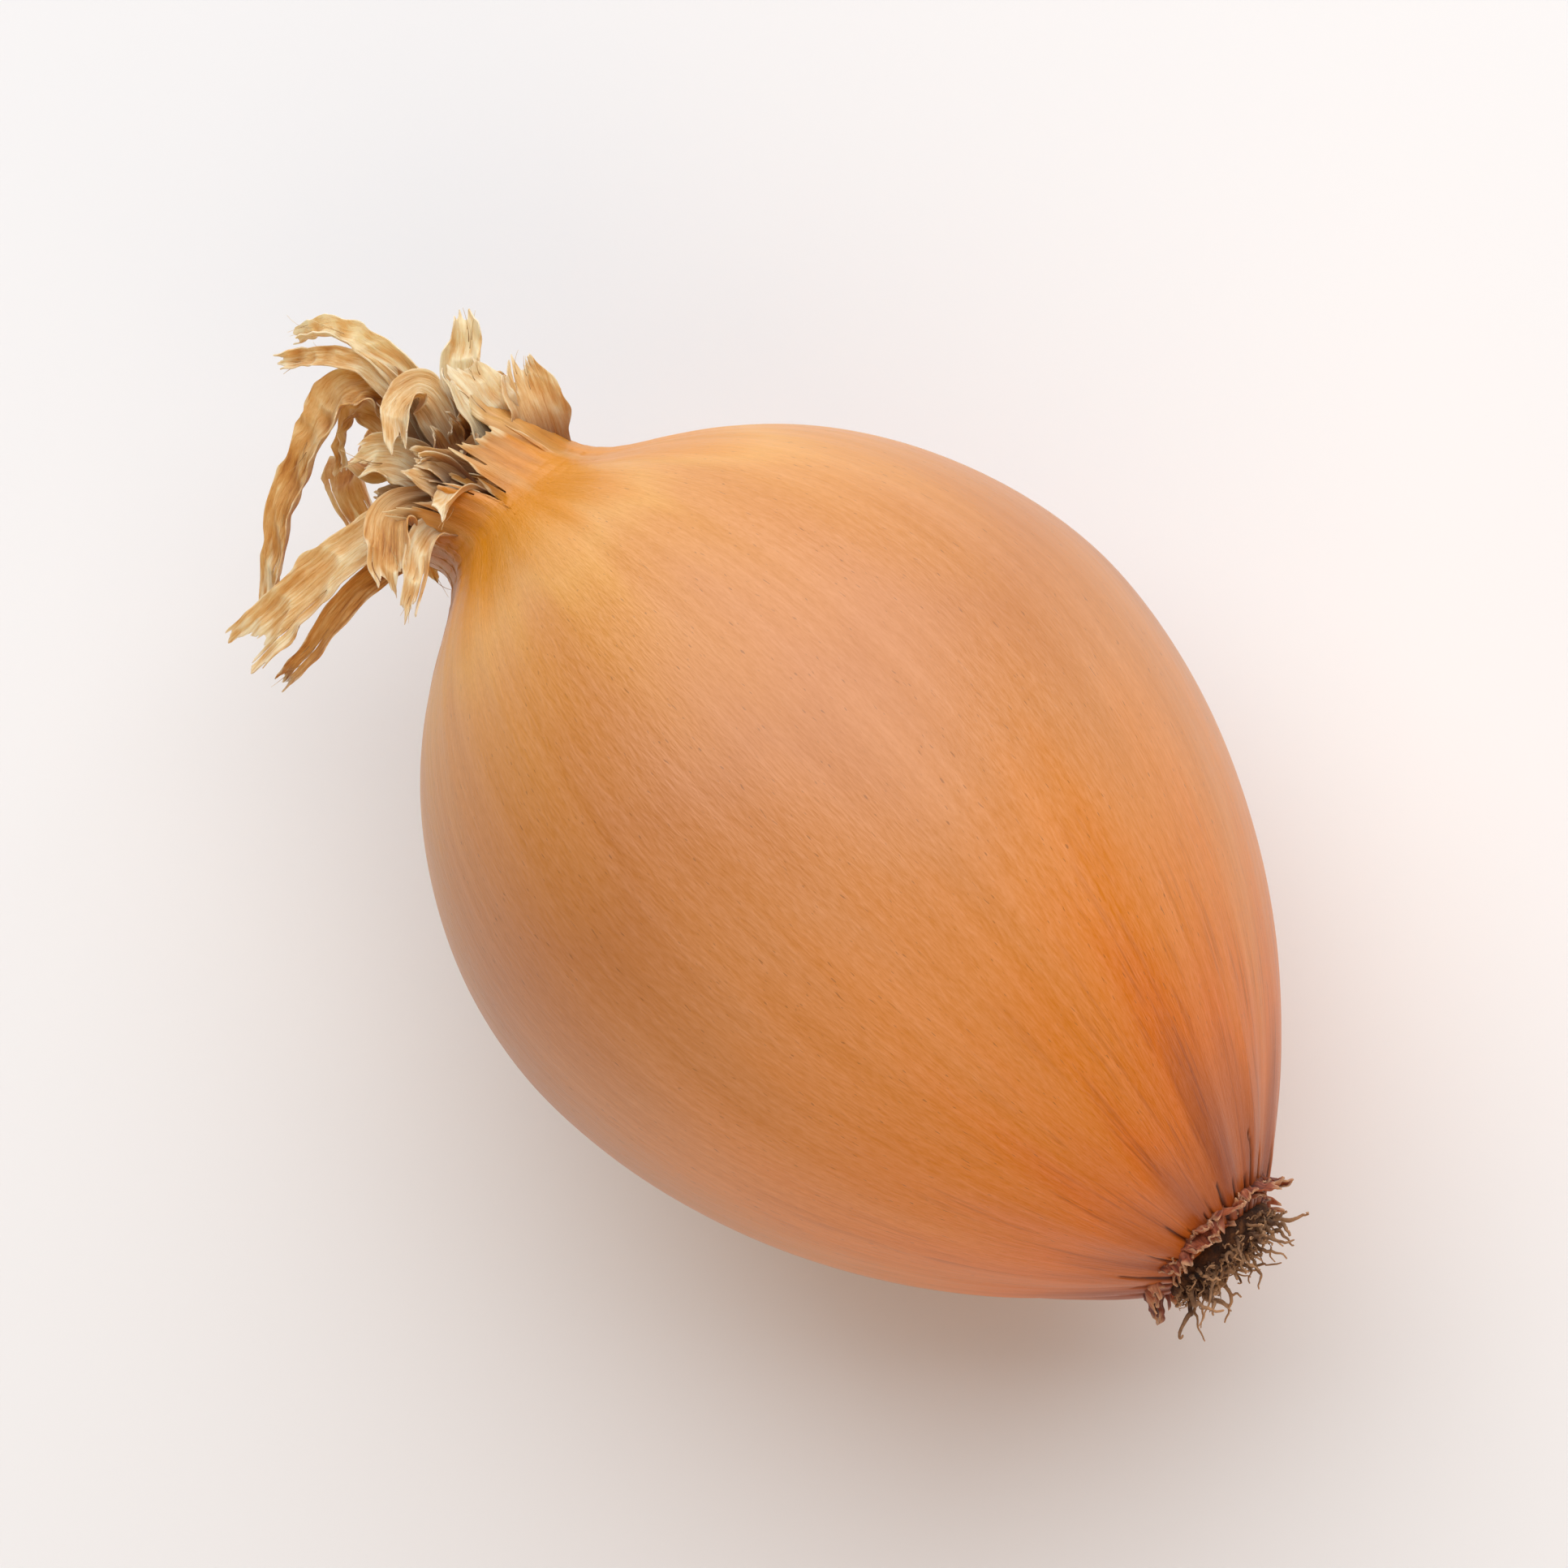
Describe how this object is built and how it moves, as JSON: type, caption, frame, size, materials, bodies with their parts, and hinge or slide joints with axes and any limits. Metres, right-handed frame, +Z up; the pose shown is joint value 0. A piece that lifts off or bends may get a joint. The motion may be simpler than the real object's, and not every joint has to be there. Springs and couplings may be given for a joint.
{
  "type": "onion",
  "caption": "Whole yellow onion lying on its side: bulb in dry papery skin, torn straw-coloured neck leaves and a dried root tuft.",
  "frame": {"origin": "centre of the small flat spot under the belly that the onion rests on", "axes": "+X along the onion from its neck to its roots, +Z up, +Y to the side"},
  "size_m": [0.0984, 0.0554, 0.0557],
  "materials": {
    "onion_skin": "dry papery skin, satin, tan-orange with fine fibres from pole to pole",
    "dry_leaf": "dried leaf, straw-coloured, fibrous and matt",
    "dried_root": "dried root fibres, dark brown and matt"
  },
  "bodies": {
    "root": {"bulb": "onion_skin", "neck_leaves": "dry_leaf", "root_tuft": "dried_root"}
  },
  "joints": []
}
